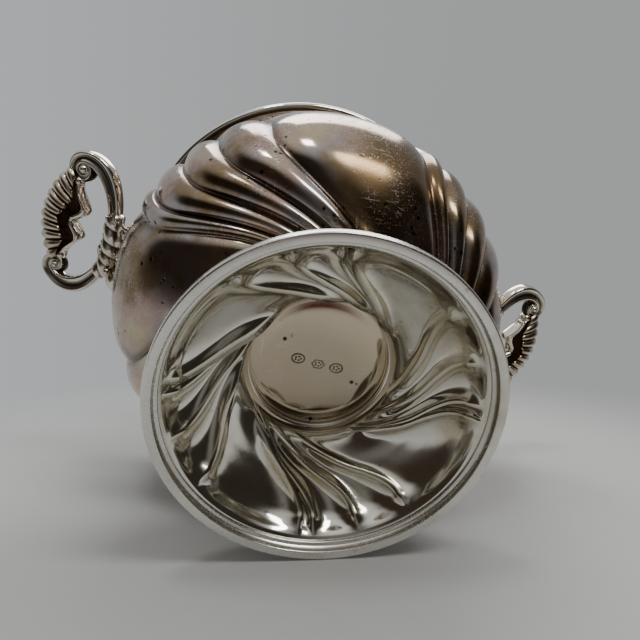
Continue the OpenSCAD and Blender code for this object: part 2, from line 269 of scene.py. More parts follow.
def noise(tree, place, scale, detail=4.0, rough=0.55):
    """Cloudy values from 0 to 1."""
    node = add(tree, "ShaderNodeTexNoise")
    node.inputs["Scale"].default_value = scale
    node.inputs["Detail"].default_value = detail
    node.inputs["Roughness"].default_value = rough
    tree.links.new(place, node.inputs["Vector"])
    return node.outputs["Fac"]


def ranged(tree, value, low, high, to_low=0.0, to_high=1.0):
    """Smooth map of a value from one range to another."""
    node = add(tree, "ShaderNodeMapRange")
    node.interpolation_type = "SMOOTHSTEP"
    for label, number in (("From Min", low), ("From Max", high), ("To Min", to_low), ("To Max", to_high)):
        node.inputs[label].default_value = number
    tree.links.new(value, node.inputs["Value"])
    return node.outputs["Result"]


def maths(tree, operation, a, b):
    """Arithmetic on two values, each a number or an output."""
    node = add(tree, "ShaderNodeMath")
    node.operation = operation
    for i, value in enumerate((a, b)):
        if isinstance(value, (int, float)):
            node.inputs[i].default_value = value
        else:
            tree.links.new(value, node.inputs[i])
    return node.outputs[0]


def scratch_group():
    """Hairline scratches in three directions, from wiping and polishing."""
    tree = group("hairlines", [], ["Mask"])
    result = add(tree, "NodeGroupOutput")
    place = add(tree, "ShaderNodeTexCoord").outputs["Object"]
    total = None
    for turn, stretch in (((0.3, 0.2, 0.5), (90, 2600, 2600)), ((1.1, 0.6, 2.1), (2400, 120, 2400)),
                          ((2.0, 1.3, 0.9), (2900, 2900, 110))):
        way = add(tree, "ShaderNodeMapping")
        way.inputs["Rotation"].default_value = turn
        way.inputs["Scale"].default_value = stretch
        tree.links.new(place, way.inputs["Vector"])
        line = ranged(tree, noise(tree, way.outputs[0], 1.0, 1.0), 0.62, 0.74)
        total = line if total is None else maths(tree, "MAXIMUM", total, line)
    patch = ranged(tree, noise(tree, place, 70.0, 2.0), 0.40, 0.62)
    tree.links.new(maths(tree, "MULTIPLY", total, patch), result.inputs["Mask"])
    return tree


def tarnish_group():
    """Clouds of tarnish, the bands of colour at their edges, dark pits, and slow waves for dents."""
    tree = group("tarnish", [("Scale", 45.0), ("Reach", 0.5)], ["Cloud", "Band", "Pits", "Dents"])
    given, result = add(tree, "NodeGroupInput"), add(tree, "NodeGroupOutput")
    place = add(tree, "ShaderNodeTexCoord").outputs["Object"]
    base = add(tree, "ShaderNodeTexNoise")
    base.inputs["Detail"].default_value = 7.0
    base.inputs["Roughness"].default_value = 0.62
    tree.links.new(place, base.inputs["Vector"])
    tree.links.new(given.outputs["Scale"], base.inputs["Scale"])
    level = maths(tree, "ADD", base.outputs["Fac"], maths(tree, "SUBTRACT", given.outputs["Reach"], 0.5))
    tree.links.new(ranged(tree, level, 0.36, 0.68), result.inputs["Cloud"])
    up = ranged(tree, level, 0.47, 0.53)
    down = ranged(tree, level, 0.53, 0.60, 1.0, 0.0)
    tree.links.new(maths(tree, "MULTIPLY", up, down), result.inputs["Band"])
    cells = add(tree, "ShaderNodeTexVoronoi")
    cells.inputs["Scale"].default_value = 420.0
    tree.links.new(place, cells.inputs["Vector"])
    dots = ranged(tree, cells.outputs["Distance"], 0.12, 0.26, 1.0, 0.0)
    some = ranged(tree, noise(tree, place, 130.0, 3.0), 0.52, 0.62)
    tree.links.new(maths(tree, "MULTIPLY", dots, some), result.inputs["Pits"])
    tree.links.new(noise(tree, place, 75.0, 2.0, 0.4), result.inputs["Dents"])
    return tree


HAIRLINES = scratch_group()
TARNISH = tarnish_group()


def mixed(tree, amount, a, b):
    """Colour mix; a and b are colours or outputs, amount a number or an output."""
    node = add(tree, "ShaderNodeMix")
    node.data_type = "RGBA"
    for socket, value in ((node.inputs[0], amount), (node.inputs[6], a), (node.inputs[7], b)):
        if isinstance(value, (int, float)):
            socket.default_value = value
        elif isinstance(value, tuple):
            socket.default_value = (*value, 1)
        else:
            tree.links.new(value, socket)
    return node.outputs[2]


def placed_group(tree, nodes, **values):
    """A node group put to use, with its input values."""
    node = tree.nodes.new("ShaderNodeGroup")
    node.node_tree = nodes
    for label, value in values.items():
        node.inputs[label].default_value = value
    return node


SCRATCH_COLOUR = (0.86, 0.85, 0.82)
PIT_COLOUR = (0.02, 0.018, 0.015)
BLUE_SHEEN, PINK_SHEEN = (0.28, 0.36, 0.62), (0.60, 0.34, 0.42)


def silver(name, clean, stain, deep, reach=0.5, scale=45.0, rough=(0.16, 0.34), crease_shade_to=1.0,
           scratch=0.5, pits=0.0, rainbow=0.0, dents=0.06, clean_bore=False, metal=1.0):
    """A silver finish: its polish, stain colours, hairlines, pits, and painted shade darkening its recesses.
    """
    material = bpy.data.materials.new(name)
    material.use_nodes = True
    tree = material.node_tree
    shader = tree.nodes["Principled BSDF"]
    shader.inputs["Metallic"].default_value = metal
    lines = placed_group(tree, HAIRLINES).outputs["Mask"]
    bloom = placed_group(tree, TARNISH, Scale=scale, Reach=reach)
    cloud, band, holes, waves = (bloom.outputs[k] for k in ("Cloud", "Band", "Pits", "Dents"))
    if clean_bore:
        place = add(tree, "ShaderNodeTexCoord").outputs["Object"]
        length = add(tree, "ShaderNodeVectorMath")
        length.operation = "LENGTH"
        flat = add(tree, "ShaderNodeVectorMath")
        flat.operation = "MULTIPLY"
        flat.inputs[1].default_value = (1, 1, 0)
        tree.links.new(place, flat.inputs[0])
        tree.links.new(flat.outputs[0], length.inputs[0])
        outside = ranged(tree, length.outputs["Value"], BORE_R, BORE_R + 6 * MM, 0.12, 1.0)
        cloud = maths(tree, "MULTIPLY", cloud, outside)
        band = maths(tree, "MULTIPLY", band, outside)
    crease = add(tree, "ShaderNodeAttribute")
    crease.attribute_name = "crease"
    # Painted shade: the deeper a point lies in a crease, the more its colour goes to the deep colour and the
    # rougher it gets.
    hollow = ranged(tree, crease.outputs["Fac"], 0.45, 1.0, 0.0, crease_shade_to)
    colour = mixed(tree, cloud, clean, stain)
    if rainbow:
        hue = ranged(tree, waves, 0.42, 0.58)
        sheen = mixed(tree, hue, BLUE_SHEEN, PINK_SHEEN)
        colour = mixed(tree, maths(tree, "MULTIPLY", band, rainbow), colour, sheen)
    colour = mixed(tree, hollow, colour, deep)
    colour = mixed(tree, maths(tree, "MULTIPLY", holes, pits), colour, PIT_COLOUR)
    colour = mixed(tree, maths(tree, "MULTIPLY", lines, 0.35 * scratch), colour, SCRATCH_COLOUR)
    tree.links.new(colour, shader.inputs["Base Color"])
    dull = maths(tree, "ADD", maths(tree, "MULTIPLY", cloud, rough[1] - rough[0]), rough[0])
    dull = maths(tree, "ADD", dull, maths(tree, "MULTIPLY", lines, 0.12 * scratch))
    dull = maths(tree, "ADD", dull, maths(tree, "MULTIPLY", hollow, 0.12))
    tree.links.new(dull, shader.inputs["Roughness"])
    height = maths(tree, "SUBTRACT", maths(tree, "MULTIPLY", waves, 4.0 * dents),
                   maths(tree, "MULTIPLY", lines, 0.05 * scratch))
    height = maths(tree, "SUBTRACT", height, maths(tree, "MULTIPLY", holes, 0.5 * pits))
    bump = add(tree, "ShaderNodeBump")
    bump.inputs["Strength"].default_value = 0.6
    bump.inputs["Distance"].default_value = 0.10 * MM
    tree.links.new(height, bump.inputs["Height"])
    tree.links.new(bump.outputs["Normal"], shader.inputs["Normal"])
    return material


# Each finish: its clean and stained colours, the colour of its painted crease shade, then how far the stain
# reaches and the rest
BOWL_SILVER = silver("bowl_silver", (0.62, 0.53, 0.40), (0.17, 0.11, 0.055), (0.07, 0.042, 0.02), reach=0.57,
                     scale=26.0, rough=(0.07, 0.20), crease_shade_to=0.7, scratch=0.9, pits=1.0, rainbow=0.25,
                     clean_bore=True)
BOWL_LINING = silver("bowl_lining", (0.80, 0.78, 0.73), (0.55, 0.47, 0.36), (0.35, 0.28, 0.2), reach=0.42,
                     rough=(0.12, 0.26), crease_shade_to=0.3, scratch=0.8)
FOOT_SILVER = silver("foot_silver", (0.78, 0.76, 0.69), (0.56, 0.50, 0.36), (0.42, 0.36, 0.20), reach=0.42,
                     scale=60.0, rough=(0.10, 0.20), crease_shade_to=0.4, scratch=0.6, pits=0.25)
RIM_SILVER = silver("rim_silver", (0.83, 0.81, 0.76), (0.60, 0.55, 0.46), (0.3, 0.25, 0.18), reach=0.42,
                    rough=(0.24, 0.36), scratch=1.0, pits=0.3)
WIRE_SILVER = silver("wire_silver", (0.88, 0.86, 0.80), (0.62, 0.56, 0.45), (0.3, 0.25, 0.18), reach=0.38,
                     rough=(0.06, 0.16), scratch=0.5)
CAST_SILVER = silver("cast_silver", (0.78, 0.74, 0.66), (0.50, 0.42, 0.30), (0.045, 0.035, 0.025), reach=0.46,
                     scale=120.0, rough=(0.10, 0.24), crease_shade_to=1.0, scratch=0.4, dents=0.12)
SHELL_SILVER = silver("shell_silver", (0.66, 0.60, 0.50), (0.40, 0.30, 0.20), (0.05, 0.032, 0.02), reach=0.52,
                      scale=140.0, rough=(0.12, 0.28), crease_shade_to=1.0, scratch=0.3, dents=0.12)
SHELL_LINING = silver("shell_lining", (0.34, 0.20, 0.12), (0.17, 0.09, 0.05), (0.03, 0.02, 0.015), reach=0.5,
                      scale=160.0, rough=(0.4, 0.55), crease_shade_to=0.8, scratch=0.2, metal=0.3)
STAMP_SILVER = silver("stamp_silver", (0.42, 0.38, 0.30), (0.16, 0.13, 0.09), (0.03, 0.03, 0.02), reach=0.55,
                      scale=300.0, rough=(0.25, 0.4), scratch=0.2)


# ---- flutes -------------------------------------------------------------------

QUARTER = 90.0
# Width in degrees of the wide panel and of each lobe after it, and its facets
BOWL_LOBES = ((46, 22), (6, 10), (11, 15), (12, 15), (15, 18))
BOWL_START = -23.0
FOOT_LOBES = ((46, 28), (21, 21), (18, 20), (5, 11))
FOOT_START = 88.5 - QUARTER
COLUMNS = 4 * 80
BOWL_DEPTH = 1.9 * MM
FOOT_DEPTH = 1.6 * MM
# Degrees above which a lobe counts as a wide panel, and below which it counts as narrow
PANEL_WIDTH = 30
NARROW_WIDTH = 8


def flute_columns(lobes, start):
    """For each column: its angle, its share across its lobe, and the lobe's width.

    Columns stand closer together towards the creases."""
    columns = []
    for quarter in range(4):
        at = start + quarter * QUARTER
        for width, count in lobes:
            for i in range(count):
                s = i / count
                t = 0.4 * s + 0.6 * (1 - math.cos(math.pi * s)) / 2
                columns.append((at + width * t, t, width))
            at += width
    return columns


def crease_share(t, width):
    """0 on a lobe's crest and 1 in the creases beside it; a wide panel is flatter."""
    x = abs(2 * t - 1)
    if width > PANEL_WIDTH:
        return x ** 5
    return x ** 2.2 * (0.7 if width < NARROW_WIDTH else 1)


# ---- bowl -----------------------------------------------------------------------

WIRE_C = (WIRE_OUT_R - WIRE_R, BOWL_TOP - WIRE_R)
LIP_SLOPE = math.radians(40)
# The lip's first point past the neck, and how far its last two lie from the wire's middle
LIP_OUT, LIP_UP = 0.9 * MM, 4.2 * MM
LIP_BACK = (3.7, 0.5)
# The base's gentle dome, as shares of the bore's radius and millimetres below the seat
BASE_DIP = 1.1
BASE_DOME = ((0, BASE_DIP), (0.45, 0.98), (0.78, 0.6), (0.95, 0.15))
# Outline under the belly and over it, as shares of the swell and of the height
UNDER = ((0.13, 0.03), (0.40, 0.14), (0.64, 0.29), (0.83, 0.46), (0.955, 0.70))
OVER = ((0.10, 0.34), (0.34, 0.55), (0.72, 0.77))


def bowl_outline():
    """The bowl's outside, from the middle of its base to the lip, as (r, z)."""
    swell, drop = BELLY_R - COLLAR_R, BELLY_Z - SEAT_Z
    waist, rise = BELLY_R - NECK_R, NECK_Z - BELLY_Z
    base = [(s * BORE_R, SEAT_Z - dip * MM) for s, dip in BASE_DOME]
    seat = [(COLLAR_R - 1.2 * MM, SEAT_Z), (COLLAR_R + 0.3 * MM, SEAT_Z)]
    under = [(COLLAR_R + s * swell, SEAT_Z + h * drop) for s, h in UNDER]
    over = [(BELLY_R - s * waist, BELLY_Z + h * rise) for s, h in OVER]
    slope = (math.cos(LIP_SLOPE), math.sin(LIP_SLOPE))
    neck = [(NECK_R, NECK_Z), (NECK_R + LIP_OUT, NECK_Z + LIP_UP)]
    lip = [(WIRE_C[0] - slope[0] * k * MM, WIRE_C[1] - slope[1] * k * MM) for k in LIP_BACK]
    return base + seat + under + [(BELLY_R, BELLY_Z)] + over + neck + lip


BOWL_LINE = bowl_outline()
BELLY_KEY = len(BASE_DOME) + 2 + len(UNDER)
NECK_KEY = BELLY_KEY + 1 + len(OVER)
# Degrees that the flutes turn from the belly down to the collar, and from the belly up to the neck
BOWL_TWIST = 60
SHOULDER_TWIST = 24
BOWL_RINGS = 128


def bowl_turn(r, u):
    """Degrees that the flutes have turned at a ring."""
    if u < BELLY_KEY:
        return BOWL_TWIST * share(r, BELLY_R, COLLAR_R) ** 1.6
    return -SHOULDER_TWIST * (share(r, BELLY_R, NECK_R) if u < NECK_KEY else 1)


def bowl_fade(r, u):
    """Share of the flute depth at a ring: none at the seat and none on the flared lip."""
    if u < BELLY_KEY:
        return ease(share(r, COLLAR_R + 0.3 * MM, COLLAR_R + 9 * MM))
    return 1 - ease(share(u, BELLY_KEY + 0.5, NECK_KEY - 0.3))


def raised_bowl():
    """The beaten bowl, with its twisted flutes, as one wall."""
    keys = even_keys(BOWL_LINE, BOWL_RINGS)
    columns = flute_columns(BOWL_LOBES, BOWL_START)

    def place(ring, column):
        u = keys[ring]
        point = spline(BOWL_LINE, u)
        if ring == 0:
            return Vector((0, 0, point[1])), 0
        angle, t, width = columns[column]
        deep = crease_share(t, width) * bowl_fade(point[0], u)
        spot = point - outward(BOWL_LINE, u) * BOWL_DEPTH * deep
        a = math.radians(angle + bowl_turn(point[0], u))
        return Vector((spot[0] * math.cos(a), spot[0] * math.sin(a), spot[1])), deep

    bm = fluted(0, BOWL_RINGS, COLUMNS, place)
    piece = new_piece(bm, "raised_bowl", [BOWL_SILVER, BOWL_LINING], ["bowl_shell"], False)
    thicken(piece, WALL, 1)


def lip_wire():
    """Round wire soldered along the lip."""
    bm = turned(arc(WIRE_C, WIRE_R, 0, 348.75, 31), 256)
    new_piece(bm, "lip_wire", [WIRE_SILVER], ["mouth_wire"])


def neck_collar():
    """Turned ring between foot and bowl, beaded outside and in the bore."""
    high = COLLAR_TOP - COLLAR_LOW
    bead, low = high / 2, COLLAR_LOW
    inner = 0.55 * MM
    outline = ([(BORE_R + 0.35 * MM, low), (COLLAR_R - bead, low)]
               + arc((COLLAR_R - bead, low + bead), bead, -80, 80, 12)
               + [(COLLAR_R - bead, low + high), (BORE_R + 0.35 * MM, low + high)]
               + arc((BORE_R + 0.3 * MM, low + high - inner), inner, 100, 260, 12))
    new_piece(turned(outline, 200), "neck_collar", [WIRE_SILVER], ["foot_collar"])


# ---- foot -----------------------------------------------------------------------

FOOT_TWIST = 60
FOOT_RINGS = 88
FLANGE_Z = FOOT_RIM_H + SOLDER + WALL
ROLL = 0.5 * MM
# Outline of the foot above its flange, as shares of its span and of its lift
FOOT_RISE = ((0.03, 0.04), (0.07, 0.12), (0.12, 0.20), (0.21, 0.30), (0.36, 0.41), (0.55, 0.52), (0.75, 0.63),
             (0.90, 0.76), (0.985, 0.90), (1.0, 1.0))


def foot_outline():
    """The foot's outside, from the flange on its rim to the top of its neck."""
    span, lift = RIM_IN_R - FOOT_NECK_R, FOOT_H - FLANGE_Z
    flange = [(FOOT_R - 0.7 * MM, FLANGE_Z), (RIM_IN_R - 0.3 * MM, FLANGE_Z)]
    rise = [(RIM_IN_R - ROLL - s * (span - ROLL), FLANGE_Z + h * lift) for s, h in FOOT_RISE]
    return flange + rise


FOOT_LINE = foot_outline()


def foot_turn(r):
    """Degrees that the foot's flutes have turned at a radius."""
    return FOOT_TWIST * share(r, RIM_IN_R, FOOT_NECK_R) ** 2.8


def foot_fade(u):
    """Share of the flute depth: none on the flange and none at the neck."""
    last = len(FOOT_LINE) - 1
    return ease(share(u, 1.6, 4.2)) * (1 - ease(share(u, last - 3.2, last - 1.1)))


def domed_foot():
    """The pressed foot: round-ended lobes and smooth panels that twist in to its neck."""
    keys = even_keys(FOOT_LINE, FOOT_RINGS - 1)
    columns = flute_columns(FOOT_LOBES, FOOT_START)

    def place(ring, column):
        u = keys[ring - 1]
        point = spline(FOOT_LINE, u)
        angle, t, width = columns[column]
        deep = crease_share(t, width) * foot_fade(u)
        spot = point - outward(FOOT_LINE, u) * FOOT_DEPTH * deep
        r = max(FOOT_NECK_R + SOLDER, spot[0])
        a = math.radians(angle + foot_turn(point[0]))
        return Vector((r * math.cos(a), r * math.sin(a), max(FLANGE_Z, spot[1]))), deep

    bm = fluted(1, FOOT_RINGS, COLUMNS, place)
    piece = new_piece(bm, "domed_foot", [FOOT_SILVER], ["foot_shell"], False)
    thicken(piece, WALL)


def foot_band():
    """The applied band that the bowl stands on: a flat face, a step and a small bead inside."""
    under, over, bead, soft = 0.45 * MM, 0.7 * MM, 0.4 * MM, 0.28 * MM
    outline = (arc((FOOT_R - under, under), under, -90, 0, 6)
               + arc((FOOT_R - over, FOOT_RIM_H - over), over, 0, 90, 6)
               + [(RIM_IN_R - bead, FOOT_RIM_H)]
               + arc((RIM_IN_R - 0.5 * MM, FOOT_RIM_H - bead), bead, 100, 290, 10)
               + [(RIM_IN_R - 0.05 * MM, FOOT_RIM_H - 0.95 * MM), (RIM_IN_R, 0.6 * MM)]
               + arc((RIM_IN_R + soft + 0.1 * MM, soft), soft, 180, 270, 5))
    new_piece(turned(outline, 288), "foot_band", [RIM_SILVER], ["foot_rim"])


# Each stamp's place on the base in millimetres, and the sides of its frame
STAMPS = ((-4.8, -0.5, 28), (-0.3, 0.15, 6), (3.8, 0.45, 28))
STAMP_R = 1.25 * MM
STAMP_LINE = 0.16 * MM
PETALS = 5


def base_marks():
    """Three small worn stamps on the underside of the bowl, generic frames round a rosette."""
    parts = []
    for x, y, sides in STAMPS:
        at = Vector((x * MM, y * MM, SEAT_Z - BASE_DIP * MM))
        frame_line = turned(arc((STAMP_R, 0), STAMP_LINE, 0, 300, 5), sides)
        bmesh.ops.scale(frame_line, vec=(1.1, 0.85, 0.6), verts=frame_line.verts)
        bmesh.ops.translate(frame_line, vec=at, verts=frame_line.verts)
        parts.append(frame_line)
        for k in range(PETALS):
            a = math.tau * k / PETALS
            spot = at + Vector((0.62 * MM * math.cos(a), 0.45 * MM * math.sin(a), 0))
            parts.append(ball((0.26 * MM, 0.2 * MM, 0.12 * MM), spot, segments=8))
    bm = join(parts)
    bm.verts.layers.float.new("crease")
    new_piece(bm, "base_marks", [STAMP_SILVER])


# ---- handles --------------------------------------------------------------------

# All handle sizes are in millimetres in the handle's own plane: p out from the bowl, y along it
LONG_AXIS = ((4.8, 9.0), (4.8, 13), (5.7, 17.5), (7.8, 21.8), (11.2, 24.6), (14.9, 25.0))
LONG_EYE = (14.2, 21.7)
SHORT_AXIS = ((7.6, -3.6), (11, -7.9), (14.6, -9.9), (18.4, -9.9), (21.3, -8.1))
SHORT_EYE = (20.0, -5.4)
GRIP_C = (4.6, 6.0)
GRIP_R = 20.85
GRIP_FROM, GRIP_TO = -32.0, 51.0
GRIP_RIBS = 10
GRIP_W = 11.6
GRIP_T = 7.4
GRIP_WALL = 1.0
# Angles round the grip's section at which its open underside starts and its curled edge ends
GRIP_OPEN, GRIP_CURL = -104.0, 180.0
GRIP_RINGS, GRIP_SIDES = 241, 72
BORDER_RINGS = 110
ARM_T = 4.3
ARM_STEPS, COIL_STEPS = 30, 46
COIL_CLOSE = 0.76
SMOOTHING = 14
BUTTON_T = 2.35
WEB_T = 1.5
STEM = ((4.75, 12.6), (4.8, 9.5), (4.9, 4.5), (5.2, 0.5), (6.3, -2.6), (8.8, -5.2))
STEM_RINGS = 120
LEAF_RINGS = 30


def on_handle(p, y, n, side):
    """Where a handle point lies in the frame: p out from the bowl, y along it, n out of the plane."""
    cos, sin = math.cos(HANDLE_TILT), math.sin(HANDLE_TILT)
    x = SEAT_R + (p * cos - n * sin) * MM
    return Vector((side * x, side * y * MM, HANDLE_Z + (p * sin + n * cos) * MM))


def handle_turn(side):
    """Rotation from the handle's plane to the frame."""
    turn = Matrix.Rotation(-HANDLE_TILT, 3, "Y")
    return turn if side > 0 else Matrix.Rotation(math.pi, 3, "Z") @ turn


def scroll_path(axis, eye, turn):
    """An arm's axis carried on in a coil round its eye: (point, share along arm, share of coil)."""
    path = [(spline(axis, i * (len(axis) - 1) / ARM_STEPS), i / ARM_STEPS, 0.0) for i in range(ARM_STEPS)]
    centre = Vector(eye)
    first = Vector(axis[-1]) - centre
    a0, r0 = math.atan2(first[1], first[0]), first.length
    for i in range(COIL_STEPS + 1):
        k = i / COIL_STEPS
        a, r = a0 + math.radians(turn) * k, r0 * (1 - COIL_CLOSE * k)
        path.append((centre + r * Vector((math.cos(a), math.sin(a))), 1.0, k))
    for _ in range(SMOOTHING):
        spots = [spot for spot, _, _ in path]
        path = [path[0]] + [((spots[i - 1] + 2 * spots[i] + spots[i + 1]) / 4, *path[i][1:])
                            for i in range(1, len(path) - 1)] + [path[-1]]
    return path


def power(x, e):
    """x raised to e, with its sign kept."""
    return math.copysign(abs(x) ** e, x)


def scroll_arm(side, axis, eye, turn, broad, swell_at, eye_r):
    """A cast arm with a channel down both faces, wound into a scroll round a button."""
    path = scroll_path(axis, eye, turn)
    last = len(path) - 1

    def place(ring, angle):
        point, along, k = path[ring]
        way = (path[min(last, ring + 1)][0] - path[max(0, ring - 1)][0]).normalized()
        across = Vector((-way[1], way[0]))
        swell = 0.84 + 0.34 * math.exp(-((along - swell_at) / 0.3) ** 2)
        width = broad * swell * (1 - 0.58 * ease(k * 1.6)) - 0.35 * k
        thick = ARM_T * (0.86 + 0.14 * ease(along * 3)) * (1 - 0.22 * k)
        c, s = power(math.cos(angle), 0.8), power(math.sin(angle), 0.62)
        groove = math.exp(-((math.cos(angle) / 0.42) ** 2)) * (1 - 0.45 * k)
        n = thick / 2 * s * (1 - 0.52 * groove)
        spot = point + across * width / 2 * c
        # The channel is painted as shade through the crease value, taken from groove.
        return on_handle(spot[0], spot[1], n, side), 0.95 * groove * ease(1.2 - 0.4 * k)

    bm = tube(len(path), 36, place)
    button = ball((eye_r * MM, eye_r * MM, BUTTON_T * MM), on_handle(*eye, 0, side), handle_turn(side))
    button.verts.layers.float.new("crease")
    return join([bm, button])


def shaded_scroll_web(side, eye, radius):
    """Thin web that closes a scroll between its turns, painted wholly in dark shade."""
    bm = bmesh.new()
    bmesh.ops.create_cone(bm, cap_ends=True, segments=36, radius1=radius * MM, radius2=radius * MM,
                          depth=WEB_T * MM)
    bmesh.ops.rotate(bm, cent=(0, 0, 0), matrix=handle_turn(side), verts=bm.verts)
    bmesh.ops.translate(bm, vec=on_handle(*eye, 0, side), verts=bm.verts)
    # Painted shade: the whole web takes crease value 1, so it is painted in the finish's dark crease shade
    # colour.
    crease = bm.verts.layers.float.new("crease")
    for v in bm.verts:
        v[crease] = 1.0
    return bm


def grip_width(t):
    """Width of the grip at a share of its arc: two convex lobes and narrow ends."""
    lobes = 0.86 + 0.19 * ((1 - math.cos(2 * math.tau * t)) / 2 + 0.02) ** 0.62
    return GRIP_W * lobes * (0.60 + 0.40 * ease(min(t, 1 - t) * 5))


def grip_rib(t):
    """Height of the rounded ribs at a share of the arc, from -0.5 in a groove to 0.5 on a rib."""
    return abs(math.sin(math.pi * (GRIP_RIBS * t))) ** 0.75 - 0.5


def grip_spot(t, inward, n, side):
    """Point on the grip: t along its arc, inward from its outer edge, n out of the plane."""
    a = math.radians(GRIP_FROM + (GRIP_TO - GRIP_FROM) * t)
    r = GRIP_R - inward
    return on_handle(GRIP_C[0] + r * math.cos(a), GRIP_C[1] + r * math.sin(a), n, side)


def grip_shell(side):
    """The hollow ribbed grip, open underneath, its outer edge curled under."""
    def place(ring, angle):
        t = ring / (GRIP_RINGS - 1)
        q = (angle % math.tau) / math.tau * 2
        outer = q < 1
        s = q if outer else 2 - q
        a = math.radians(GRIP_OPEN + (GRIP_CURL - GRIP_OPEN) * s)
        width, thick = grip_width(t), GRIP_T * (0.66 + 0.34 * math.sin(math.pi * t) ** 0.6)
        ribs = grip_rib(t) * ease((1.0 - s) * 2.4) * 0.95
        proud = -0.45 + ribs if outer else -0.45 - GRIP_WALL + 0.5 * ribs
        half, tall = width / 2 + proud, thick / 2 + proud
        inward = width / 2 - half * math.cos(a)
        # Painted shade in the grooves between the ribs, carried as the crease value; -1 marks the lining
        # faces.
        shade = min(1.0, 1.25 * (0.5 - grip_rib(t)) * ease((1.0 - s) * 2.4)) if outer else -1.0
        return grip_spot(t, inward, tall * math.sin(a), side), shade

    bm = tube(GRIP_RINGS, GRIP_SIDES, place)
    crease = bm.verts.layers.float["crease"]
    for face in bm.faces:
        face.material_index = int(all(v[crease] < 0 for v in face.verts))
    return bm


def grip_border(side):
    """The thick lobed edge of the grip, with a small knob at each end."""
    def place(ring, angle):
        t = 0.03 + 0.94 * ring / (BORDER_RINGS - 1)
        width = grip_width(t)
        fat = 1.55 * (0.66 + 0.34 * ease(min(t, 1 - t) * 8))
        fat *= 1 - 0.2 * math.exp(-((t - 0.5) / 0.04) ** 2)
        inward = width - 1.2 - fat * math.cos(angle) * 0.95
        # ridge pinches the edge along one side and is painted as shade there through the crease value.
        ridge = 0.55 * math.exp(-((angle % math.tau - 3 * math.pi / 2 - 0.75) / 0.5) ** 2)
        return grip_spot(t, inward, -0.6 + fat * 1.5 * math.sin(angle) * (1 - 0.3 * ridge), side), ridge

    knobs = [ball((1.3 * MM, 1.3 * MM, 1.7 * MM), grip_spot(t, grip_width(t) - 1.6, -0.6, side),
                  handle_turn(side), 20) for t in (0.015, 0.985)]
    for knob in knobs:
        knob.verts.layers.float.new("crease")
    return join([tube(BORDER_RINGS, 20, place), *knobs])


def leaf_stem(side):
    """Stem from one arm to the other, wrapped by veins that run slantwise."""
    last = len(STEM) - 1

    def place(ring, angle):
        t = ring / (STEM_RINGS - 1)
        point = spline(STEM, t * last)
        ahead = spline(STEM, min(1, t + 0.01) * last) - spline(STEM, max(0, t - 0.01) * last)
        across = Vector((-ahead[1], ahead[0])).normalized()
        vein = abs(math.sin(math.pi * 6.5 * t + angle)) ** 0.8
        fat = (2.35 + 0.75 * math.sin(math.pi * t)) * (0.9 + 0.12 * vein)
        fat *= 0.55 + 0.45 * ease(min(t, 1 - t) * 12)
        spot = point + across * fat * 0.95 * math.cos(angle)
        # The grooves between the veins are painted as shade through the crease value, 1 - vein.
        return on_handle(spot[0], spot[1], fat * 1.05 * math.sin(angle), side), 1 - vein

    return tube(STEM_RINGS, 40, place)


def leaflet(side, points, broad, tall):
    """A pointed leaf along (p, y, n) points, with a ridge down its middle."""
    last = len(points) - 1

    def place(ring, angle):
        t = ring / (LEAF_RINGS - 1)
        point = spline(points, t * last)
        ahead = spline(points, min(1, t + 0.02) * last) - spline(points, max(0, t - 0.02) * last)
        across = Vector((-ahead[1], ahead[0], 0)).normalized()
        wide = broad * (0.35 + 0.65 * math.sin(math.pi * min(1, t * 1.15 + 0.12))) * (1 - 0.9 * t ** 3)
        edge = abs(math.cos(angle))
        flute = 0.3 * math.exp(-((edge - 0.5) / 0.18) ** 2)
        spot = point + across * wide * math.cos(angle)
        spot.z += tall * power(math.sin(angle), 0.8) * (1 - t ** 4) * (1 - flute)
        # The flute along each side is painted as shade through the crease value.
        return on_handle(*spot, side), flute * 2.4

    return tube(LEAF_RINGS, 20, place)


# Leaves of a mount, as (points, half width, half thickness): those that wrap the arm,
# and those that spread over the bowl
LEAVES = (
    (((4.2, 8.0, 1.8), (4.4, 11.0, 2.2), (4.2, 14.2, 1.4)), 1.3, 0.6),
    (((5.8, 6.5, 1.2), (6.8, 8.8, 1.4), (7.2, 11.0, 0.6)), 1.1, 0.7),
    (((4.2, 8.0, -1.8), (4.4, 11.0, -2.2), (4.2, 13.6, -1.4)), 1.3, 0.6),
    (((3.0, 7.0, -1.0), (2.4, 9.8, -1.2), (2.7, 12.2, -0.6)), 1.1, 0.8),
    (((6.2, 3.5, -1.2), (7.3, 2.2, -1.4), (8.0, -0.6, -0.8)), 1.1, 0.9),
    (((6.4, 1.5, 1.2), (7.4, 0.4, 1.4), (8.6, -1.8, 0.8)), 1.1, 0.9),
    (((2.0, 6.0, 0.5), (0.8, 8.4, 1.6), (-0.9, 10.4, 2.6)), 1.9, 0.9),
    (((2.0, 6.0, -0.5), (0.5, 8.2, -2.0), (-0.8, 9.6, -4.4)), 1.8, 0.9),
    (((2.2, 0.0, -1.0), (1.1, 0.5, -3.8), (-1.3, 0.2, -6.6)), 2.1, 1.0),
    (((2.2, 0.0, 1.0), (0.6, 0.5, 3.6), (-2.2, 0.2, 6.2)), 2.1, 1.0),
    (((2.0, -3.0, 0.5), (0.8, -6.2, 1.6), (-0.9, -9.4, 2.6)), 1.9, 0.9),
    (((2.0, -3.0, -0.5), (0.5, -6.0, -2.0), (-0.8, -8.6, -4.4)), 1.8, 0.9),
)
# Rounded lumps under the leaves, as (radii, place, facets round)
CUSHIONS = (
    ((2.6, 6.6, 4.4), (-0.1, 1.0, -0.4), 28),
    ((2.5, 3.2, 2.6), (3.0, -5.6, 0), 28),
    ((2.6, 2.6, 2.4), (3.0, 5.5, 0), 28),
    ((0.95, 0.95, 0.95), (4.1, -2.7, -3.2), 18),
)


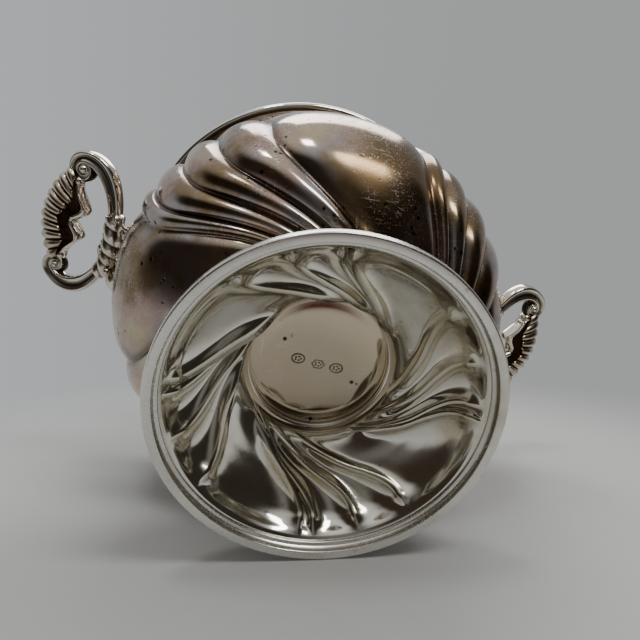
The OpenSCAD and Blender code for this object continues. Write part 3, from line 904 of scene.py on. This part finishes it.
def leaf_mount(side):
    """The cast leaf cluster that joins the handle to the bowl."""
    parts = [leaf_stem(side)]
    parts += [leaflet(side, *leaf) for leaf in LEAVES]
    cushions = [ball([r * MM for r in radii], on_handle(*spot, side), handle_turn(side), facets)
                for radii, spot, facets in CUSHIONS]
    for cushion in cushions:
        cushion.verts.layers.float.new("crease")
    return join(parts + cushions)


def handle(side, name):
    """All the pieces of one handle."""
    long_arm = scroll_arm(side, LONG_AXIS, LONG_EYE, -400, 3.7, 0.62, 1.45)
    new_piece(long_arm, name + "_long_arm", [CAST_SILVER], ["long_scroll_" + name])
    short_arm = scroll_arm(side, SHORT_AXIS, SHORT_EYE, 400, 3.9, 0.5, 1.2)
    new_piece(short_arm, name + "_short_arm", [CAST_SILVER], ["short_scroll_" + name])
    webs = join([shaded_scroll_web(side, LONG_EYE, 3.2), shaded_scroll_web(side, SHORT_EYE, 2.8)])
    new_piece(webs, name + "_scroll_webs", [CAST_SILVER])
    new_piece(grip_shell(side), name + "_shell", [SHELL_SILVER, SHELL_LINING],
              ["shell_grip_" + name])
    new_piece(grip_border(side), name + "_shell_border", [CAST_SILVER])
    new_piece(leaf_mount(side), name + "_leaf", [CAST_SILVER], ["leaf_mount_" + name])


# ---- stage ------------------------------------------------------------------------

# The way up while the bowl lies on its side
LYING_UP = Vector((-0.180, -0.950, 0.2536)).normalized()
FLOOR_HALF = 0.9


def stage_material(name, colour, fade=None):
    """Pale matt cloth seen from its upper side only; fade gives where it thins out, if it does."""
    material = bpy.data.materials.new(name)
    material.use_nodes = True
    tree = material.node_tree
    shader, output = tree.nodes["Principled BSDF"], tree.nodes["Material Output"]
    shader.inputs["Roughness"].default_value = 0.75
    shader.inputs["Specular IOR Level"].default_value = 0.25
    place = add(tree, "ShaderNodeTexCoord").outputs["Object"]
    shader.inputs["Base Color"].default_value = (*colour, 1)
    bump = add(tree, "ShaderNodeBump")
    bump.inputs["Strength"].default_value = 0.35
    bump.inputs["Distance"].default_value = 0.25 * MM
    tree.links.new(noise(tree, place, 420.0, 3.0), bump.inputs["Height"])
    tree.links.new(bump.outputs["Normal"], shader.inputs["Normal"])
    clear = add(tree, "ShaderNodeBsdfTransparent")
    blend = add(tree, "ShaderNodeMixShader")
    hidden = add(tree, "ShaderNodeNewGeometry").outputs["Backfacing"]
    if fade:
        far = add(tree, "ShaderNodeVectorMath")
        far.operation = "LENGTH"
        tree.links.new(place, far.inputs[0])
        hidden = maths(tree, "MAXIMUM", hidden, ranged(tree, far.outputs["Value"], *fade))
    tree.links.new(hidden, blend.inputs[0])
    tree.links.new(shader.outputs[0], blend.inputs[1])
    tree.links.new(clear.outputs[0], blend.inputs[2])
    tree.links.new(blend.outputs[0], output.inputs["Surface"])
    return material


def stage_plane(name, up, centre, material):
    """A flat square of cloth that faces up and casts no shadow."""
    bm = bmesh.new()
    bmesh.ops.create_grid(bm, x_segments=1, y_segments=1, size=FLOOR_HALF)
    plane = bpy.data.meshes.new(name)
    bm.to_mesh(plane)
    bm.free()
    obj = bpy.data.objects.new(name, plane)
    bpy.context.scene.collection.objects.link(obj)
    obj.rotation_mode = "QUATERNION"
    obj.rotation_quaternion = up.to_track_quat("Z", "Y")
    obj.location = centre
    plane.materials.append(material)
    obj.visible_shadow = False
    return obj


def stage():
    """A pale floor for the bowl standing, and one for it lying on its rim and belly."""
    standing = stage_plane("floor", Vector((0, 0, 1)), (0, 0, -0.02 * MM),
                           stage_material("floor_cloth", (0.62, 0.62, 0.61)))
    standing.visible_glossy = False
    standing.visible_diffuse = False
    standing.visible_transmission = False
    across = Vector((LYING_UP[0], LYING_UP[1], 0)).normalized()
    touch = -across * FOOT_R
    stage_plane("lying_floor", LYING_UP, touch - LYING_UP * 0.05 * MM,
                stage_material("lying_cloth", (0.50, 0.50, 0.49), (0.10, 0.20)))


# Each light: its name, the way to it, its distance, its size and its power in watts
LIGHTS = (
    ("overhead", (0.185, -0.953, -0.217), 0.8, (0.32, 0.17), 2.2),
    ("overhead_left", (-0.34, -0.93, 0.10), 0.8, (0.12, 0.12), 0.9),
    ("sky", (0.05, -0.50, 0.86), 0.7, (0.45, 0.30), 2.4),
)


def soft_light(name, way, distance, size, watts):
    """A soft rectangular light that faces the bowl's middle."""
    data = bpy.data.lights.new(name, "AREA")
    data.shape = "RECTANGLE"
    data.size, data.size_y = size
    data.energy = watts
    lamp = bpy.data.objects.new(name, data)
    bpy.context.scene.collection.objects.link(lamp)
    way = Vector(way).normalized()
    lamp.location = Vector((0, 0, BELLY_Z)) + way * distance
    lamp.rotation_mode = "QUATERNION"
    lamp.rotation_quaternion = way.to_track_quat("Z", "Y")
    lamp.visible_camera = False


def room():
    """Grey room, with light overhead of the lying bowl and dark sides that only show as reflections."""
    world = bpy.data.worlds.new("room")
    bpy.context.scene.world = world
    world.use_nodes = True
    tree = world.node_tree
    place = add(tree, "ShaderNodeTexCoord").outputs["Generated"]

    def facing(way, low, high):
        """How nearly a direction points one way, from 0 to 1."""
        dot = add(tree, "ShaderNodeVectorMath")
        dot.operation = "DOT_PRODUCT"
        dot.inputs[1].default_value = Vector(way).normalized()
        tree.links.new(place, dot.inputs[0])
        return ranged(tree, dot.outputs["Value"], low, high)

    plain = mixed(tree, facing((1, -0.1, 0.2), -0.35, 0.5), (0.50, 0.515, 0.525), (0.375, 0.38, 0.385))
    colour = mixed(tree, facing(-LOOK, 0.1, 0.8), plain, (0.17, 0.165, 0.155))
    colour = mixed(tree, facing((0.75, -0.40, -0.53), 0.55, 0.85), colour, (0.03, 0.025, 0.02))
    colour = mixed(tree, facing((-0.85, -0.35, -0.40), 0.70, 0.92), colour, (0.04, 0.03, 0.022))
    colour = mixed(tree, facing((0.15, 0.10, -0.98), 0.968, 0.984), colour, (0.07, 0.016, 0.02))
    colour = mixed(tree, facing(LYING_UP, 0.55, 0.95), colour, (0.75, 0.75, 0.73))
    colour = mixed(tree, add(tree, "ShaderNodeLightPath").outputs["Is Camera Ray"], colour, plain)
    tree.links.new(colour, tree.nodes["Background"].inputs["Color"])
    tree.nodes["Background"].inputs["Strength"].default_value = 1.0


# ---- camera -------------------------------------------------------------------------

CAMERA_AZIMUTH, CAMERA_ELEVATION, CAMERA_ROLL = -23.68, -67.26, -12.63
CAMERA_DISTANCE = 176.38 * MM
CAMERA_AIM = Vector((2.46, 0.17, 47.52)) * MM


def camera_look():
    """Unit vector along which the camera looks."""
    a, e = math.radians(CAMERA_AZIMUTH), math.radians(CAMERA_ELEVATION)
    return -Vector((math.sin(a) * math.cos(e), -math.cos(a) * math.cos(e), math.sin(e)))


LOOK = camera_look()


def camera():
    """Below the foot, looking up into it, with the camera rolled."""
    data = bpy.data.cameras.new("camera")
    data.lens = 39.375
    data.sensor_width = 36
    data.clip_start, data.clip_end = 0.005, 10
    cam = bpy.data.objects.new("camera", data)
    bpy.context.scene.collection.objects.link(cam)
    cam.rotation_mode = "QUATERNION"
    cam.location = CAMERA_AIM - LOOK * CAMERA_DISTANCE
    upright = LOOK.to_track_quat("-Z", "Y")
    cam.rotation_quaternion = upright @ Matrix.Rotation(math.radians(CAMERA_ROLL), 3, "Z").to_quaternion()
    bpy.context.scene.camera = cam


camera()
raised_bowl()
lip_wire()
neck_collar()
domed_foot()
foot_band()
base_marks()
handle(1, "right")
handle(-1, "left")
stage()
room()
for light in LIGHTS:
    soft_light(*light)
